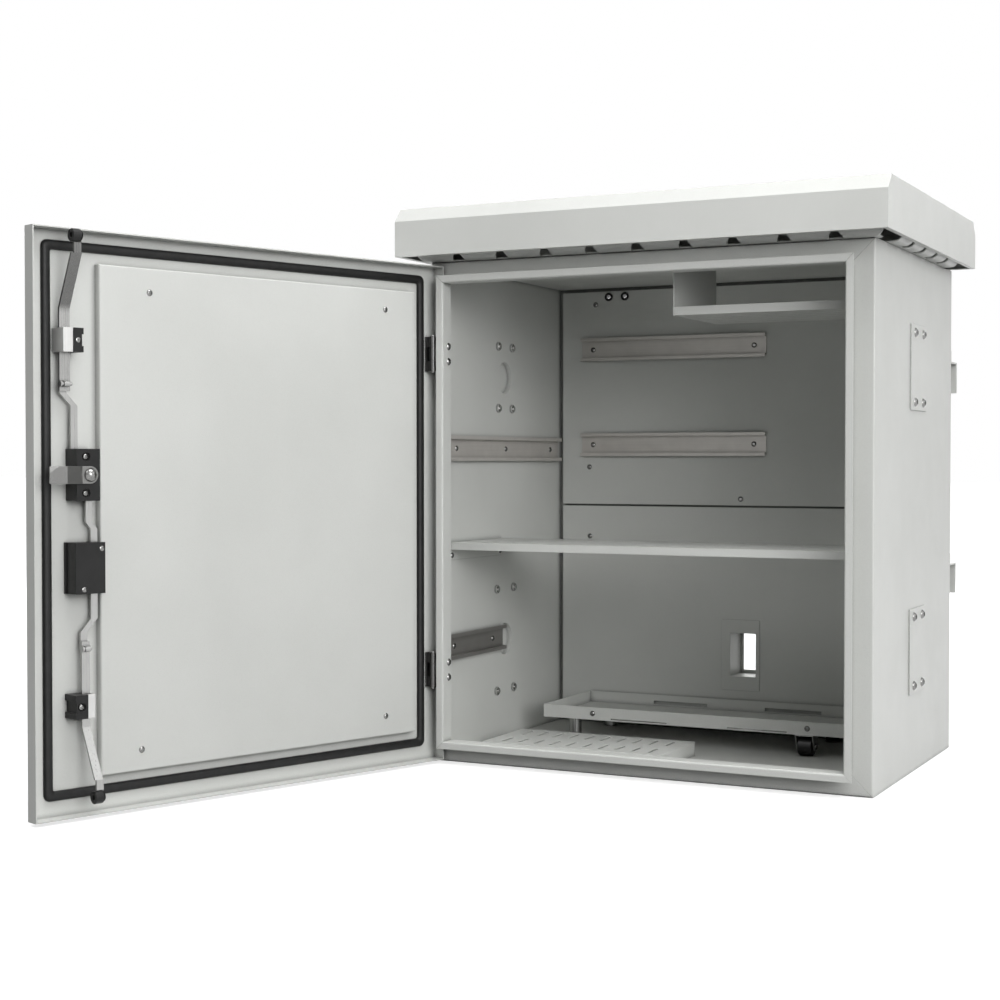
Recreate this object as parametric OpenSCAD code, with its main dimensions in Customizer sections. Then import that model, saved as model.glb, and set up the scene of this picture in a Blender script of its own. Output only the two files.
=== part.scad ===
/* [Body] */
// Width of the body over its side panels
body_w = 600; // [590:5:630]
// Depth of the body from the front flange to the back of the rear panel
body_d = 415; // [410:5:435]
// Height of the body without its roof
body_h = 667; // [660:1:685]
// Thickness of the painted sheet metal
sheet = 1.5; // [1.2:0.1:1.8]
// Outer radius of the folds
bend_r = 2.5; // [2:0.1:3]
// Width of the front flange, from the outer side to the opening
flange_w = 30; // [29:0.5:32]
// How far the collar stands forward of the front flange
collar_rise = 23.6; // [23:0.2:25]
// Width of the lip turned outwards on the collar
lip_w = 10; // [8:0.5:11]
// Open seam left where two sheets meet
seam = 0.2; // [0.1:0.05:0.3]

/* [Roof] */
// Overhang of the roof at the front
roof_front = 49.7; // [45:0.5:56]
// Overhang of the roof at the back
roof_back = 23.5; // [22:0.5:30]
// Overhang of the roof at each side
roof_side = 27.7; // [24:0.5:34]
// Height of the roof skirt below its bevel
roof_skirt = 46.5; // [38:0.5:56]
// Height of the roof bevel
bevel_rise = 17.7; // [12:0.5:22]
// Depth of the roof bevel
bevel_run = 15; // [10:0.5:20]
// Gap between the top of the body and the lower edge of the roof
roof_lift = 3.8; // [3:0.2:6]
// Width of the lip folded inwards under the roof skirt
roof_lip = 5; // [4:0.5:6]
// Spacing of the vent notches
notch_pitch = 63.5; // [58:0.5:66]
// Height of a vent strip
comb_rise = 15; // [13.5:0.5:16]

/* [Door] */
// Opening angle of the door
door_open = 109.5; // [90:0.5:113]
// How far the door reaches past each side of the body
door_over = 1; // [0.5:0.5:1.5]
// Height of the door's lower edge above the body's lower edge
door_low = 3.4; // [2:0.2:5]
// Drop of the door's upper edge below the body's upper edge
door_drop = 6.8; // [5:0.2:8]
// Depth of the door pan over its folded rim
door_depth = 19.5; // [18:0.5:20]
// Room for the pressed gasket between the collar lip and the door
gasket_room = 5.5; // [5:0.1:6]
// Width of the gasket
gasket_w = 11; // [10:0.5:12]
// Corner radius of the gasket, inside
gasket_corner = 3; // [2:0.5:5]
// Height of the inner door panel above the door sheet
panel_h = 10; // [8:0.5:11]
// Distance of the hinge pin from the door's hinge-side face
pin_s = 13.3; // [13:0.1:13.6]
// Distance of the hinge pin behind the door's outer face
pin_t = 12.55; // [12.4:0.05:12.8]
// Height of the lower hinge
hinge_low_z = 124; // [90:1:140]
// Drop of the upper hinge below the top of the body
hinge_drop = 123; // [100:1:145]
// Length of a hinge
hinge_len = 46; // [42:1:52]

/* [Lock] */
// Distance of the lock spindle from the door's free edge
spindle_in = 63.5; // [62:0.5:64]
// Distance of the lock spindle above the key plug
handle_len = 122.6; // [119:0.2:126]
// Distance of the upper lock rod from the door's free edge
upper_rod_in = 41; // [40.5:0.5:41.5]
// Distance of the lower lock rod from the door's free edge
lower_rod_in = 65.6; // [65:0.2:66.5]
// Drop of the upper rod guide below the top of the body
upper_guide_drop = 131; // [127:1:136]
// Height of the lower rod guide
lower_guide_z = 127.5; // [125:0.5:130]
// Radius of a lock-rod roller
roller_r = 7.3; // [6.5:0.1:7.5]
// Length of a lock-rod roller
roller_len = 10; // [9:0.5:11]
// Drop of the upper roller below the top of the body
upper_roller_drop = 17.5; // [16:0.5:19]
// Height of the lower roller
lower_roller_z = 28; // [24:0.5:29]
// Radial running clearance of pins and shafts
run_fit = 0.06; // [0.03:0.01:0.09]

/* [Interior] */
// Standoff of the mounting plates from the rear panel
plate_standoff = 8; // [6:0.5:10]
// Drop of the seam between the mounting plates below the top of the body
plate_seam_drop = 332; // [322:1:342]
// Drop of the upper rear rail below the top of the body
rear_rail_high = 95; // [88:1:106]
// Drop of the lower rear rail below the top of the body
rear_rail_low = 240; // [228:1:250]
// Length of the rear rails
rear_rail_len = 294; // [280:2:300]
// Height of the long rail on the left wall
side_rail_z = 419.5; // [410:0.5:430]
// Height of the short rail on the left wall
short_rail_z = 148; // [140:1:155]
// Height of the top of the middle shelf
shelf_z = 291; // [280:1:300]
// Depth of the middle shelf
shelf_d = 160; // [155:1:190]
// Drop of the underside of the hanging shelf below the top of the body
hang_drop = 79; // [72:1:86]
// Left end of the hanging shelf, to the right of the middle
hang_left = 27; // [10:1:45]
// Height of the top of the floor vent cover
vent_top = 20; // [14:0.5:24]
// Gap between the left side of the body and the equipment tray
tray_left_gap = 56; // [46:1:66]
// Gap between the right side of the body and the equipment tray
tray_right_gap = 74; // [64:1:84]
// Height of the underside of the equipment tray
tray_z = 31.5; // [31:0.5:36]
// Height of the rim of the equipment tray
tray_h = 18; // [14:0.5:24]
// Radius of a caster wheel
wheel_r = 13; // [11:0.1:13]
// Width of the hole of the cable window
window_w = 39; // [34:1:44]
// Height of the hole of the cable window
window_h = 64; // [56:1:70]

/* [Outside fittings] */
// Depth of the hanging rails behind the body
hanger_d = 38; // [34:1:46]
// Drop of the web of the upper hanging rail below the top of the body
hanger_drop_z = 126; // [108:1:136]
// Height of the web of the lower hanging rail
hanger_low_z = 258; // [245:1:270]
// Distance of a wall bolt hole from the side of the body
hanger_hole_in = 50; // [30:5:80]
// Radius of a wall bolt hole
hanger_hole_r = 4.5; // [4:0.5:5.5]
// Distance of the cover plates behind the front flange
cover_y = 217; // [210:1:225]
// Drop of the upper cover plates below the top of the body
cover_drop = 144.5; // [137:0.5:152]
// Height of the lower right cover plate
cover_low_z = 157; // [150:1:165]
// Height of the lower left cover plate
cover_large_z = 144; // [140:1:150]
// Radius of the round holes in the side walls
cover_hole_r = 23; // [18:0.5:25]

/* [Hidden] */
$fn = 48;
paint = "gainsboro";
zinc = "silver";
steel = "darkgray";
black = "dimgray";
// Clearances: loose pieces, screw shanks, face to face
gap = 0.3;
shank_gap = 0.1;
// Reach of a cutting shape past what it cuts
cut = 2;
root_two = sqrt(2);

// Body: places are measured from the front flange and the lower edge
front_y = -body_d / 2;
half_w = body_w / 2;
open_half = half_w - flange_w;
wall_in = half_w - sheet;
fit_half = wall_in - seam;
rear_in = body_d - sheet;
ceiling = body_h - sheet;
hinge_high_z = body_h - hinge_drop;

// Roof
roof_z = body_h + roof_lift;
roof_mid_z = roof_z + roof_skirt;
roof_top_z = roof_mid_z + bevel_rise;
roof_w = body_w + 2 * roof_side;
roof_d = body_d + roof_front + roof_back;
fold_in = sheet * tan(22.5);
comb_foot = 12;
comb_drop = 4;
comb_corner = 14;
comb_nose_r = 11;
comb_nose = 4;
comb_lip_gap = 1.2;
notch_low_w = 18;
notch_top_w = 4;
notch_h = 11.5;
front_notches = 9;
side_notches = 4;
side_comb_start = 53;
side_comb_back = 48;
side_comb_end = body_d - side_comb_back;
comb_end_gap = 12;
rear_comb_half = half_w - comb_foot - 3;

// Door, with s along its width from the hinge side and t inwards from its outer face
door_w = body_w + 2 * door_over;
door_h = body_h - door_low - door_drop;
door_front = collar_rise + gasket_room + sheet;
flange_back_t = door_front + sheet;
pin_x = -door_w / 2 + pin_s;
pin_y = pin_t - door_front;
gasket_h = gasket_room - gap;
gasket_outer = 8;
gasket_hinge = 26;
gasket_free = 23.5;
gasket_low = 28;
gasket_top = 25;
panel_hinge_s = 44.5;
panel_free_in = 87;
panel_low_z = 44.5;
panel_drop = 43;
panel_t = sheet + panel_h;
panel_screw_s = 50;
panel_screw_z = 26;
panel_screw_free = [53, 66];
panel_screw_free_z = [24.5, 28];

// Hinges
barrel_r = 4.5;
hinge_pin_r = 2.5;
leaf_t = 2;
leaf_low_y = 2.5;
body_knuckle = 18;
hinge_bolt_y = 7;
hinge_bolt_step = 10;
hinge_bolt_r = 2.5;
hinge_head_r = 5;
hinge_head_h = 3;
pin_head_r = 3.4;
pin_head_h = 1.2;
door_leaf_s = [2.2, 17.8];

// Lock, with the rods in two planes
spindle_s = door_w - spindle_in;
spindle_r = 4;
case_w = 29;
case_h = 58;
case_rise = 24.8;
case_t = sheet + case_rise;
case_screw_z = 20.3;
drive_t = [8, 11];
lock_t = [12, 15];
rod_travel = 22;
drive_w = 8.4;
upper_drive_off = 9;
lower_drive_off = 9.3;
upper_drive_s = spindle_s + upper_drive_off;
lower_drive_s = spindle_s - lower_drive_off;
case_slot_gap = 0.4;
upper_rod_s = door_w - upper_rod_in;
lower_rod_s = door_w - lower_rod_in;
upper_lock_w = 13;
lower_lock_w = 10;
lug_half = 3.5;
lug_rise = 3;
lug_pin_r = 2.2;
lug_head_r = 3.6;
lug_head_t = 1.8;
tongue_w = 9;
web_w = 2;
lock_clear = 1.1;
roller_t = flange_back_t + lock_clear + roller_r;
roller_pin_r = 3;
eye_r = 5.5;
upper_roller_z = body_h - upper_roller_drop;
upper_guide_z = body_h - upper_guide_drop;
joint_pin_r = 4;
upper_jog = [10, 24];
lower_jog = [18, 33];
case_jog = [26, 34];
shoulder_len = 12;
upper_bend = 35.5;
lower_bend = 24;
upper_bend_z = upper_guide_z + upper_bend;
lower_bend_z = lower_guide_z - lower_bend;
roller_off = 1.5;
roller_pin_in = 1.5;
lock_thick = lock_t[1] - lock_t[0];
lock_mid_t = (lock_t[0] + lock_t[1]) / 2;

// Cam lever on the spindle
cam_w = 19.6;
cam_thick = 3.5;
cam_base_t = case_t + 1;
cam_tip_t = flange_back_t + lock_clear;
cam_len = 53;
cam_bend = [12, 34];
cam_corner = 2;
cam_facet = [11, 7];
cam_facet_drop = 2.6;
cam_bolt_r = 8;
cam_bolt_h = 6;

// Handle cover box inside the door, and handle outside
box_side = [21.5, 15.5];
box_s = [spindle_s - box_side[0], spindle_s + box_side[1]];
box_low = 10.4;
box_high = 47;
box_foot = [1.8, 3];
box_screw_high = [4, 7];
box_screw_low = [26.5, 5];
box_head_r = 3;
box_head_h = 0.6;
box_rise = 23.5;
box_t = sheet + box_rise;
box_wall = 2;
channel_off = 9.5;
channel_s = spindle_s - channel_off;
channel_t = 13;
lower_mid_off = 15.5;
lower_drive_mid_s = spindle_s - lower_mid_off;
handle_r = 22;
handle_base_t = 7;
hub_r = 15;
hub_t = 6;
lever_w = 26;
lever_t = 11;
lever_tip_gap = 5;
lever_pin_r = 2.5;
tongue_half = 5;
lever_slot = 9;
key_r = 8;
key_front = 2;
key_depth = 12;
key_slot = [1.6, 9, 1.5];

// Heights of the lock set: the spare height between the guides is shared out below the lower joint,
// below the key plug, below the upper joint and above it
guide_h = 27;
joint_need = guide_h / 2 + lug_head_r;
key_need = lower_jog[1] + box_low;
case_need = case_h / 2 + upper_jog[1];
lock_need = 2 * joint_need + key_need + handle_len + case_need;
lock_spare = upper_guide_z - lower_guide_z - lock_need;
lock_shares = [47, 29, 48, 31.3];
share = lock_spare / (lock_shares[0] + lock_shares[1] + lock_shares[2] + lock_shares[3]);
lower_joint_z = lower_guide_z + joint_need + lock_shares[0] * share;
key_z = lower_joint_z + key_need + lock_shares[1] * share;
spindle_z = key_z + handle_len;
upper_joint_z = spindle_z + case_need + lock_shares[2] * share;
box_z = [key_z - box_low, key_z + box_high];

// Rod guides
guide_base_t = lock_t[0] - gap;
clip_thick = 1.5;
upper_guide_room = 10.5;
lower_guide_room = 7;
upper_clip_t = lock_t[1] + upper_guide_room;
lower_clip_t = lock_t[1] + lower_guide_room;
guide_rise = 2 * clip_thick;
upper_block_w = 12;
lower_block_w = 16;
upper_split = 4;
lower_split = 3;
upper_guide_screw = 5.4;
lower_guide_screw = 8;
guide_notch = [2, 13];
lock_head_r = 3.9;
lock_head_h = 2.5;
recess = 2;
recess_r = 5.2;
case_screw_s = 3;

// Interior
plate_y = rear_in - plate_standoff;
plate_side = 8.5;
plate_half = half_w - plate_side;
plate_gap = 6.5;
plate_seam = 3;
rail_w = 35;
rail_h = 7.5;
rail_base_w = 27;
rail_thick = 1;
plate_seam_z = body_h - plate_seam_drop;
rear_rail_high_z = body_h - rear_rail_high;
rear_rail_low_z = body_h - rear_rail_low;
rear_rail_in = 41;
rear_screw_in = 18.5;
rear_rail_x = rear_rail_in - half_w + rear_rail_len / 2;
rear_rail_screw = rear_rail_len / 2 - rear_screw_in;
side_rail_back = 15;
side_rail_y = [28, body_d - side_rail_back];
short_rail_y = [28, 209];
side_screw_in = [39, 191, 29];
side_rail_screws = [side_rail_y[0] + side_screw_in[0], side_rail_y[0] + side_screw_in[1],
    side_rail_y[1] - side_screw_in[2]];
short_rail_screws = [60, 177];
plate_screw_in = [63, 53, 54];
plate_screw_mid = -4;
plate_screw_rise = [58, 11, 48];
plate_screw_drop = 26;
plate_screws = [
    [plate_screw_in[0] - half_w, body_h - plate_screw_drop],
    [plate_screw_in[1] - half_w, plate_seam_z + plate_screw_rise[0]],
    [plate_screw_mid, plate_seam_z + plate_screw_rise[1]],
    [plate_screw_in[2] - half_w, plate_seam_z - plate_screw_rise[2]]
];
screw_r = 2;
screw_head_r = 4;
screw_head_h = 2.2;
screw_len = 3;
bush_in = 85;
bush_step = 26.5;
bush_x = [bush_in - half_w, bush_in + bush_step - half_w];
bush_drop = 15;
bush_r = 4.9;
bush_head_r = 6.3;
bush_head_t = 2;
bush_bore_r = 3;

shelf_y = 46;
shelf_lip = 10;
shelf_side = 24;
shelf_screw_y = [7, shelf_d - 7];
shelf_screw_drop = 18;
shelf_slot = [30, 5];
shelf_rows = 3;
shelf_columns = 12;
hang_z = body_h - hang_drop;
hang_lip = 11;
hang_flange = 18;
hang_slot = [16, 4];
hang_rows = 5;
hang_columns = 11;
vent_in = 46;
vent_end = 7;
vent_x = [vent_in - half_w, vent_end];
vent_y = [60, 184];
vent_slot = [4, 36];
vent_columns = 10;
vent_rows = 2;
tray_w = body_w - tray_left_gap - tray_right_gap;
tray_x = (tray_left_gap - tray_right_gap) / 2;
tray_front = 235;
tray_y = [tray_front, rear_in - plate_standoff - 3];
tray_slot_pitch = 19.6;
tray_slot_in = 29;
tray_slots = floor((tray_w - 2 * tray_slot_in) / tray_slot_pitch) + 1;
tray_slot = [3, 42];
tray_cut_x = [-87, 87];
tray_cut_w = 85;
tray_cut_h = 2;
tray_rear_cut = [4, 9];
tray_screw_in = 77;
tray_screw_x = tray_w / 2 - tray_screw_in;
tray_screw_z = 9;
post_in = 41.5;
post_x = tray_x - tray_w / 2 + post_in;
post_front = 20;
tray_foot_back = 17.5;
post_y = [tray_y[0] + post_front, tray_y[1] - tray_foot_back];
post_r = 9;
caster_in = 82;
caster_x = tray_x + tray_w / 2 - caster_in;
caster_front = 15;
caster_y = [tray_y[0] + caster_front, tray_y[1] - tray_foot_back];
wheel_w = 20;
wheel_z = sheet + gap + wheel_r;
fork_thick = 1.2;
fork_gap = 1.2;
fork_half = 14;
fork_plate = 1.6;
fork_tip = 5;
axle_r = 2.5;
axle_head_r = 4;
axle_head_t = 1.6;

window_x = 0.7;
window_z = 116;
window_plate_x = [-32.5, 26];
window_plate_z = [63.5, 167.5];
window_wall = 2;
window_step = 5;

// Outside fittings
hanger_high_z = body_h - hanger_drop_z;
hanger_hole_x = half_w - hanger_hole_in;
hanger_wall = 15;
hanger_drop = 43;
hanger_thick = 2.5;
hanger_hole_drop = 22;
cover_high_z = body_h - cover_drop;
cover_size = [86, 110];
cover_bolts = [44, 89];
cover_large_size = [96, 172];
cover_large_bolts = [54, 147];
cover_thick = 2;
cover_dish = 7;
cover_bolt_r = 3.5;
cover_head_r = 6.2;
cover_head_h = 4;
cover_nut_r = 6.2;
cover_nut_t = 3.5;
cover_bolt_in = 5;

// Places

module at_front() {
    translate([0, front_y, 0]) children();
}

module on_door() {
    at_front()
        translate([pin_x, pin_y, 0])
            rotate([0, 0, -door_open])
                translate([-pin_s, -pin_t, 0]) children();
}

// Box between two corners
module block(low, high) {
    translate(low) cube(high - low);
}

// Plate drawn in the width and height plane, from depth y0 to depth y1
module slab(y0, y1) {
    translate([0, y1, 0]) rotate([90, 0, 0]) linear_extrude(y1 - y0) children();
}

// Pieces along X from x0 to x1, drawn in the depth and height plane
module along_x(x0, x1) {
    translate([x0, 0, 0]) rotate([90, 0, 90]) linear_extrude(x1 - x0) children();
}

module rod_x(x0, x1, r) {
    translate([x0, 0, 0]) rotate([0, 90, 0]) cylinder(h = x1 - x0, r = r);
}

module rod_y(y0, y1, r) {
    translate([0, y0, 0]) rotate([-90, 0, 0]) cylinder(h = y1 - y0, r = r);
}

// Round cap along +Z with its seat at zero
module dome(head_r, head_h) {
    dome_r = (head_r * head_r + head_h * head_h) / (2 * head_h);
    intersection() {
        translate([0, 0, head_h - dome_r]) sphere(r = dome_r);
        cylinder(h = head_h, r = head_r + cut);
    }
}

// Domed screw along +Z with its seat at zero
module domed_screw(head_r, head_h, shank_r, shank_len) {
    difference() {
        union() {
            dome(head_r, head_h);
            translate([0, 0, -shank_len]) cylinder(h = shank_len + head_h / 4, r = shank_r);
        }
        translate([0, 0, head_h / 2]) cylinder(h = head_h, r = head_r / 2, $fn = 6);
    }
}

// Screw whose head points out of a wall along -Y, +X or -X
module screw_front(p) {
    translate(p) rotate([90, 0, 0]) domed_screw(screw_head_r, screw_head_h, screw_r, screw_len);
}

module screw_right(p) {
    translate(p) rotate([0, 90, 0]) domed_screw(screw_head_r, screw_head_h, screw_r, screw_len);
}

module screw_hole_front(p) {
    translate(p) rod_y(-cut, screw_len + cut, screw_r + shank_gap);
}

module screw_hole_right(p) {
    translate(p) rod_x(-screw_len - cut, cut, screw_r + shank_gap);
}

module rounded_outline(low, high, r) {
    translate([low[0] + r, low[1]]) square([high[0] - low[0] - 2 * r, high[1] - low[1]]);
    translate([low[0], low[1] + r]) square([high[0] - low[0], high[1] - low[1] - 2 * r]);
    for (x = [low[0] + r, high[0] - r], y = [low[1] + r, high[1] - r])
        translate([x, y]) circle(r = r);
}

// Rectangle in depth and another direction, with the two corners at its far depth rounded
module round_far(low, high, r) {
    translate(low) square([high[0] - low[0] - r, high[1] - low[1]]);
    translate([low[0], low[1] + r]) square([high[0] - low[0], high[1] - low[1] - 2 * r]);
    for (v = [low[1] + r, high[1] - r])
        translate([high[0] - r, v]) circle(r = r);
}

// Box between two corners, with the edges of its far face in Y rounded like folds
module folded_box(low, high) {
    intersection() {
        along_x(low[0], high[0]) round_far([low[1], low[2]], [high[1], high[2]], bend_r);
        translate([0, 0, low[2]]) linear_extrude(high[2] - low[2])
            mirror([1, -1]) round_far([low[1], low[0]], [high[1], high[0]], bend_r);
    }
}

// Folded body panels

// Quarter of a fold round a centre, towards the corner given by two signs
module fold(centre, side) {
    translate(centre) intersection() {
        difference() {
            circle(r = bend_r);
            circle(r = bend_r - sheet);
        }
        translate([side[0] > 0 ? 0 : -bend_r, side[1] > 0 ? 0 : -bend_r]) square(bend_r);
    }
}

// One panel with flange, collar and outward lip: inwards from its outer face, and backwards
module edge_profile() {
    in = flange_w - bend_r;
    translate([0, bend_r]) square([sheet, body_d - bend_r]);
    fold([bend_r, bend_r], [-1, -1]);
    translate([bend_r, 0]) square([in - bend_r, sheet]);
    fold([in, sheet - bend_r], [1, 1]);
    translate([flange_w - sheet, bend_r - collar_rise]) square([sheet, collar_rise + sheet - 2 * bend_r]);
    fold([in, bend_r - collar_rise], [1, -1]);
    translate([flange_w - lip_w, -collar_rise]) square([lip_w - bend_r, sheet]);
}

module mitre(points) {
    slab(-collar_rise - cut, body_d + cut) polygon(points);
}

module folded_side() {
    intersection() {
        translate([-half_w, 0, 0]) linear_extrude(body_h) edge_profile();
        mitre([[-half_w, seam], [(body_h - body_w) / 2 - seam, body_h / 2], [-half_w, body_h - seam]]);
    }
}

module folded_level() {
    intersection() {
        translate([-half_w, 0, 0]) rotate([0, 90, 0]) mirror([1, 0, 0]) linear_extrude(body_w) edge_profile();
        mitre([[-half_w, 0], [half_w, 0], [0, half_w]]);
    }
}

// Round hole and bolt holes of a cover plate, through a side wall or a plate
module cover_holes(z, bolts, hole_r) {
    translate([0, cover_y, z]) {
        rod_x(-body_w, body_w, hole_r);
        cover_bolt_places(bolts) rod_x(-body_w, body_w, cover_bolt_r + shank_gap);
    }
}

module cover_bolt_places(bolts) {
    for (y = [-1, 1], z = [-1, 1])
        translate([0, y * bolts[0] / 2, z * bolts[1] / 2]) children();
}

module hinge_bolt_places() {
    for (z = [hinge_low_z, hinge_high_z], step = [-1, 1])
        translate([-open_half, -hinge_bolt_y, z + step * hinge_bolt_step]) children();
}

module left_side_panel() {
    color(paint) at_front() difference() {
        folded_side();
        intersection() {
            union() {
                cover_holes(cover_high_z, cover_bolts, cover_hole_r);
                cover_holes(cover_large_z, cover_large_bolts, cover_hole_r);
            }
            block([-body_w, 0, 0], [0, body_d, body_h]);
        }
        hinge_bolt_places() rod_x(-sheet - cut, cut, hinge_bolt_r + shank_gap);
    }
}

module right_side_panel() {
    color(paint) at_front() difference() {
        mirror([1, 0, 0]) folded_side();
        intersection() {
            union() {
                cover_holes(cover_high_z, cover_bolts, cover_hole_r);
                cover_holes(cover_low_z, cover_bolts, cover_hole_r);
            }
            block([0, 0, 0], [body_w, body_d, body_h]);
        }
    }
}

module top_panel() {
    color(paint) at_front() translate([0, 0, body_h]) mirror([0, 0, 1]) folded_level();
}

module bottom_panel() {
    color(paint) at_front() folded_level();
}

module bush_places() {
    for (x = bush_x)
        translate([x, 0, body_h - bush_drop]) children();
}

module window_tube_cut() {
    half = window_w / 2 + window_wall + shank_gap;
    rise = window_h / 2 + window_wall + shank_gap;
    block([window_x - half, 0, window_z - rise], [window_x + half, body_d + cut, window_z + rise]);
}

module rear_panel() {
    color(paint) at_front() difference() {
        block([-wall_in, rear_in, sheet], [wall_in, body_d, ceiling]);
        window_tube_cut();
        bush_places() rod_y(0, body_d + cut, bush_r + shank_gap);
    }
}

// Shallow pan that stands on the rear panel
module mounting_plate(z0, z1) {
    difference() {
        block([-plate_half, plate_y, z0], [plate_half, rear_in, z1]);
        block([sheet - plate_half, plate_y + sheet, z0 + sheet],
            [plate_half - sheet, rear_in + cut, z1 - sheet]);
        for (p = plate_screws) screw_hole_front([p[0], plate_y, p[1]]);
    }
}

module upper_mounting_plate() {
    color(paint) at_front() difference() {
        mounting_plate(plate_seam_z + plate_seam / 2, body_h - plate_gap);
        bush_places() rod_y(0, body_d, bush_r + shank_gap);
        for (z = [rear_rail_high_z, rear_rail_low_z], side = [-1, 1])
            screw_hole_front([rear_rail_x + side * rear_rail_screw, plate_y, z]);
    }
}

module lower_mounting_plate() {
    color(paint) at_front() difference() {
        mounting_plate(plate_gap, plate_seam_z - plate_seam / 2);
        window_tube_cut();
    }
}

// Framed sleeve from the lower mounting plate to the plane of the hanging rails
module cable_window() {
    half = window_w / 2;
    rise = window_h / 2;
    end_y = body_d + hanger_d;
    step_half = half - window_step;
    step_rise = rise - window_step;
    color(paint) at_front() difference() {
        union() {
            block([window_plate_x[0], plate_y - sheet, window_plate_z[0]],
                [window_plate_x[1], plate_y, window_plate_z[1]]);
            block([window_x - half - window_wall, plate_y - sheet, window_z - rise - window_wall],
                [window_x + half + window_wall, end_y, window_z + rise + window_wall]);
        }
        block([window_x - half, 0, window_z - rise], [window_x + half, end_y - window_wall, window_z + rise]);
        block([window_x - step_half, 0, window_z - step_rise],
            [window_x + step_half, end_y + cut, window_z + step_rise]);
    }
}

module cable_bushings() {
    color(black) at_front() bush_places() difference() {
        union() {
            rod_y(plate_y - bush_head_t, plate_y, bush_head_r);
            rod_y(plate_y - bush_head_t, body_d + bush_head_t, bush_r);
        }
        rod_y(0, body_d + body_d, bush_bore_r);
    }
}

// Roof

module roof_outline() {
    polygon([
        [-roof_front, roof_z], [-roof_front, roof_mid_z], [bevel_run - roof_front, roof_top_z],
        [body_d + roof_back - bevel_run, roof_top_z], [body_d + roof_back, roof_mid_z],
        [body_d + roof_back, roof_z]
    ]);
}

module roof_hollow() {
    low = roof_z + sheet;
    polygon([
        [sheet - roof_front, low], [sheet - roof_front, roof_mid_z - fold_in],
        [bevel_run - roof_front + fold_in, roof_top_z - sheet],
        [body_d + roof_back - bevel_run - fold_in, roof_top_z - sheet],
        [body_d + roof_back - sheet, roof_mid_z - fold_in], [body_d + roof_back - sheet, low]
    ]);
}

module roof_hood() {
    side = roof_w / 2;
    lip = sheet + roof_lip;
    color(paint) at_front() difference() {
        along_x(-side, side) roof_outline();
        along_x(sheet - side, side - sheet) roof_hollow();
        block([lip - side, lip - roof_front, roof_z - cut],
            [side - lip, body_d + roof_back - lip, roof_z + sheet + cut]);
    }
}

// Vent strip in section: foot on the body, rounded nose, web, and a flange against the roof skirt
module comb_profile(nose, reach) {
    front = nose + comb_nose_r;
    translate([-comb_foot, 0]) square([comb_foot + nose, sheet]);
    translate([nose, comb_nose_r]) intersection() {
        difference() {
            circle(r = comb_nose_r);
            circle(r = comb_nose_r - sheet);
        }
        translate([0, -comb_nose_r]) square(comb_nose_r);
    }
    translate([front - sheet, comb_nose_r]) square([sheet, comb_rise + sheet - comb_nose_r]);
    translate([front - sheet, comb_rise]) square([reach - front + sheet, sheet]);
    translate([reach - sheet, comb_rise - comb_drop]) square([sheet, comb_drop + sheet]);
}

// Strip along X that stands out towards -Y, with its notches
module vent_strip(x0, x1, nose, reach, notches) {
    difference() {
        along_x(x0, x1) mirror([1, 0]) comb_profile(nose, reach);
        for (i = [0:notches - 1])
            translate([(x0 + x1) / 2 + (i - (notches - 1) / 2) * notch_pitch, 0, 0])
                slab(-nose - comb_nose_r - cut, -cut) polygon([
                    [-notch_low_w / 2, -cut], [notch_low_w / 2, -cut], [notch_low_w / 2, sheet],
                    [notch_top_w / 2, notch_h], [-notch_top_w / 2, notch_h], [-notch_low_w / 2, sheet]
                ]);
    }
}

module front_vent_strip() {
    half = roof_w / 2 - sheet - comb_end_gap;
    color(paint) at_front() translate([0, 0, body_h]) intersection() {
        vent_strip(-half, half, comb_nose, roof_front - sheet, front_notches);
        slab(-roof_front, body_d) union() {
            translate([-half, comb_corner]) square([2 * half, comb_rise + sheet]);
            translate([comb_corner - half, 0]) square([2 * (half - comb_corner), comb_rise]);
            for (side = [-1, 1])
                translate([side * (half - comb_corner), comb_corner]) circle(r = comb_corner);
        }
    }
}

module rear_vent_strip() {
    color(paint) at_front() translate([0, body_d, body_h]) mirror([0, 1, 0])
        vent_strip(-rear_comb_half, rear_comb_half, comb_nose, roof_back - sheet, front_notches);
}

module side_vent_strip() {
    nose = roof_side - sheet - roof_lip - comb_lip_gap - comb_nose_r;
    translate([half_w, 0, body_h]) rotate([0, 0, 90])
        vent_strip(side_comb_start, side_comb_end, nose, roof_side - sheet, side_notches);
}

module left_vent_strip() {
    color(paint) at_front() mirror([1, 0, 0]) side_vent_strip();
}

module right_vent_strip() {
    color(paint) at_front() side_vent_strip();
}

// Hanging rails and cover plates

module hanging_rail(z) {
    deep = body_d + hanger_d;
    difference() {
        along_x(-half_w, half_w) polygon([
            [body_d, z + hanger_wall], [body_d + hanger_thick, z + hanger_wall], [body_d + hanger_thick, z],
            [deep, z], [deep, z - hanger_drop], [deep - hanger_thick, z - hanger_drop],
            [deep - hanger_thick, z - hanger_thick], [body_d, z - hanger_thick]
        ]);
        for (side = [-1, 1])
            translate([side * hanger_hole_x, 0, z - hanger_hole_drop])
                rod_y(body_d + hanger_thick, deep + cut, hanger_hole_r);
    }
}

module upper_hanging_rail() {
    color(paint) at_front() hanging_rail(hanger_high_z);
}

module lower_hanging_rail() {
    color(paint) at_front() hanging_rail(hanger_low_z);
}

// Cover plate on the right outer side
module cover_plate(z, size, bolts) {
    difference() {
        block([half_w, cover_y - size[0] / 2, z - size[1] / 2],
            [half_w + cover_thick, cover_y + size[0] / 2, z + size[1] / 2]);
        translate([0, cover_y, z]) cover_bolt_places(bolts) rod_x(0, body_w, cover_bolt_r + shank_gap);
    }
}

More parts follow.
